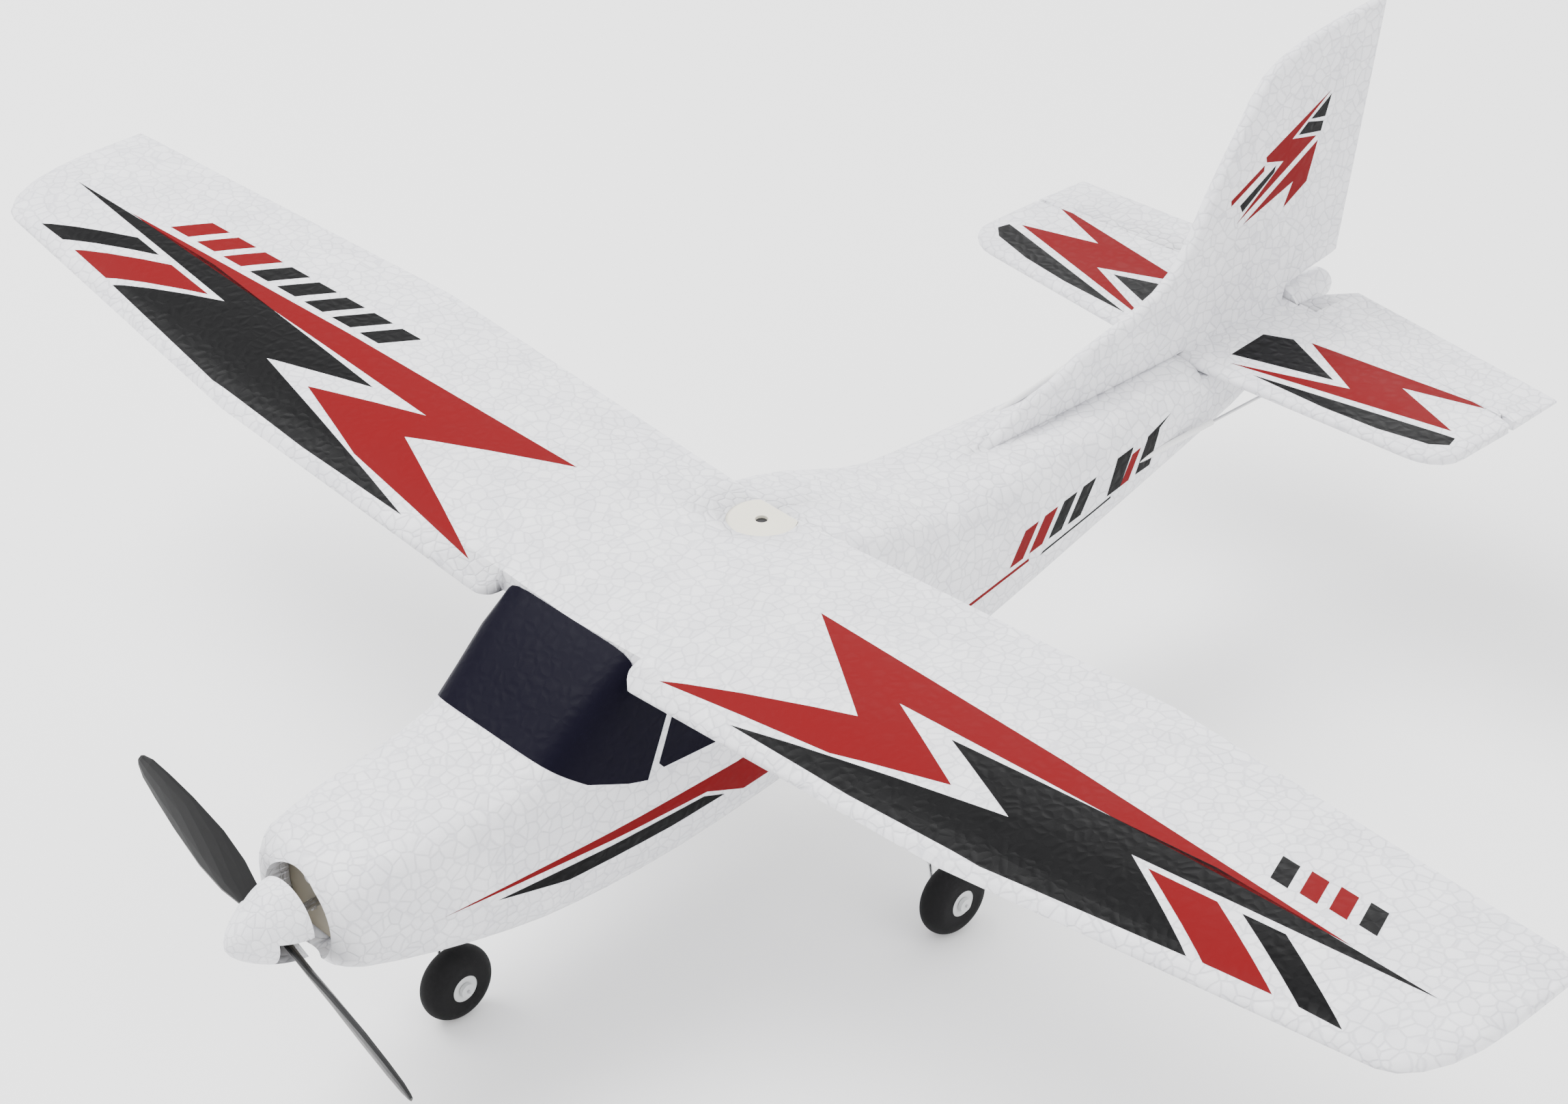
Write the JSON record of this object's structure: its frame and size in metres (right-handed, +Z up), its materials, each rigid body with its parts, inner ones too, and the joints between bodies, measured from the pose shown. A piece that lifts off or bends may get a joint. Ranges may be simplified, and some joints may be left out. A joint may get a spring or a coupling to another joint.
{
  "type": "rc foam airplane",
  "caption": "High-wing foam model airplane with tricycle landing gear, propeller, working tail controls and a battery hatch.",
  "frame": {"origin": "on the ground under the middle of the airplane's length and width, wheels standing on Z = 0", "axes": "+X to the airplane's left wing tip, +Y to the tail, +Z up; X = 0 is the airplane's centre plane"},
  "size_m": [0.708, 0.5585, 0.2331],
  "materials": {
    "foam": "moulded bead foam, matt",
    "foam_smooth": "moulded bead foam, fine",
    "magnet": "nickel plated",
    "carbon": "pultruded carbon rod",
    "cream_plastic": "moulded, satin",
    "dark_steel": "blackened steel",
    "plywood": "birch plywood",
    "wire": "spring steel wire",
    "servo_case": "tinted clear plastic",
    "screws": "zinc plated",
    "white_plastic": "nylon",
    "motor_metal": "machined",
    "copper": "enamelled copper winding",
    "propeller_plastic": "black nylon, satin",
    "brass_nut": "turned",
    "battery_wrap": "shrink film",
    "lead_rubber": "silicone lead",
    "electronics": "shrink film over a board",
    "dark_plastic": "moulded nylon",
    "tyre_foam": "foam rubber",
    "light_plastic": "moulded grey nylon"
  },
  "bodies": {
    "airframe": {"fuselage_left_half": "foam", "fuselage_right_half": "foam", "hatch_keeper": "magnet", "wing": "foam", "wing_spar": "carbon", "wing_tongue": "cream_plastic", "wing_screw_plate": "cream_plastic", "wing_screw": "dark_steel", "wing_nut_block": "plywood", "fin": "foam", "tailplane": "foam", "servo_tray": "plywood", "elevator_servo": "servo_case", "rudder_servo": "servo_case", "servo_screws": "screws", "elevator_guide_tube": "white_plastic", "rudder_guide_tube": "white_plastic", "motor_mount": "cream_plastic", "motor_mount_screws": "screws", "motor_base": "motor_metal", "motor_bearings": "screws", "motor_stator": "copper", "battery": "battery_wrap", "battery_lead": "lead_rubber", "speed_controller": "electronics", "motor_leads": "lead_rubber", "receiver": "electronics", "servo_leads": "lead_rubber", "nose_gear_block": "dark_plastic", "nose_gear_wire": "wire", "main_gear_plate": "cream_plastic", "gear_plate_screws": "screws", "main_gear_wire": "wire", "wheel_retainers": "light_plastic"},
    "propeller_unit": {"propeller": "propeller_plastic", "propeller_nut": "brass_nut", "spinner": "foam_smooth", "motor_shaft": "wire", "motor_bell": "motor_metal"},
    "left_wheel": {"left_tyre": "tyre_foam", "left_hub": "light_plastic"},
    "right_wheel": {"right_tyre": "tyre_foam", "right_hub": "light_plastic"},
    "nose_wheel": {"nose_tyre": "tyre_foam", "nose_hub": "light_plastic"},
    "elevator": {"elevator_left": "foam", "elevator_joiner": "wire", "elevator_horn": "cream_plastic"},
    "elevator_right_half": {"elevator_right": "foam"},
    "rudder": {"rudder": "foam", "rudder_horn": "cream_plastic"},
    "elevator_arm": {"elevator_servo_arm": "white_plastic", "elevator_arm_screw": "screws"},
    "rudder_arm": {"rudder_servo_arm": "white_plastic", "rudder_arm_screw": "screws"},
    "elevator_rod": {"elevator_pushrod": "wire"},
    "rudder_rod": {"rudder_pushrod": "wire"},
    "hatch": {"battery_hatch": "foam", "hatch_magnet": "magnet"}
  },
  "joints": [
    {"name": "propeller_spin", "type": "hinge", "parent": "airframe", "child": "propeller_unit", "pos_m": [0, -0.25425, 0.079], "axis": [0, -1, 0], "continuous": true},
    {"name": "left_wheel_spin", "type": "hinge", "parent": "airframe", "child": "left_wheel", "pos_m": [0.084, -0.03275, 0.0142], "axis": [1, 0, 0], "continuous": true},
    {"name": "right_wheel_spin", "type": "hinge", "parent": "airframe", "child": "right_wheel", "pos_m": [-0.084, -0.03275, 0.0142], "axis": [1, 0, 0], "continuous": true},
    {"name": "nose_wheel_spin", "type": "hinge", "parent": "airframe", "child": "nose_wheel", "pos_m": [0, -0.18925, 0.0142], "axis": [1, 0, 0], "continuous": true},
    {"name": "elevator_hinge", "type": "hinge", "parent": "airframe", "child": "elevator", "pos_m": [0, 0.23275, 0.1178], "axis": [0.9958, -0.0916, 0], "range_deg": [-15, 15]},
    {"name": "elevator_right_hinge", "type": "hinge", "parent": "airframe", "child": "elevator_right_half", "pos_m": [0, 0.23275, 0.1178], "axis": [0.9958, 0.0916, 0], "range_deg": [-15.5, 15.5]},
    {"name": "rudder_hinge", "type": "hinge", "parent": "airframe", "child": "rudder", "pos_m": [0, 0.23491, 0.137], "axis": [0, 0.248, 0.9687], "range_deg": [-22, 22]},
    {"name": "elevator_arm_turn", "type": "hinge", "parent": "airframe", "child": "elevator_arm", "pos_m": [0.007, -0.05575, 0.0948], "axis": [0, 0, 1], "range_deg": [-25.39, 25.39]},
    {"name": "rudder_arm_turn", "type": "hinge", "parent": "airframe", "child": "rudder_arm", "pos_m": [-0.007, -0.05575, 0.0948], "axis": [0, 0, 1], "range_deg": [-24.11, 24.11]},
    {"name": "elevator_rod_slide", "type": "slide", "parent": "airframe", "child": "elevator_rod", "axis": [0.0101, 0.9999, -0.001], "range_m": [-0.00531, 0.00531]},
    {"name": "rudder_rod_slide", "type": "slide", "parent": "airframe", "child": "rudder_rod", "axis": [0.0237, 0.9889, 0.1469], "range_m": [-0.0051, 0.0051]},
    {"name": "hatch_swing", "type": "hinge", "parent": "airframe", "child": "hatch", "pos_m": [0, -0.15685, 0.0432], "axis": [-1, 0, 0], "range_deg": [0, 60]}
  ],
  "couplings": [
    {"joint": "elevator_right_hinge", "follows": "elevator_hinge", "ratio": 1},
    {"joint": "elevator_rod_slide", "follows": "elevator_hinge", "m_per_rad": 0.019917},
    {"joint": "elevator_arm_turn", "follows": "elevator_hinge", "ratio": 1.6597},
    {"joint": "rudder_rod_slide", "follows": "rudder_hinge", "m_per_rad": -0.013022},
    {"joint": "rudder_arm_turn", "follows": "rudder_hinge", "ratio": 1.0731}
  ]
}
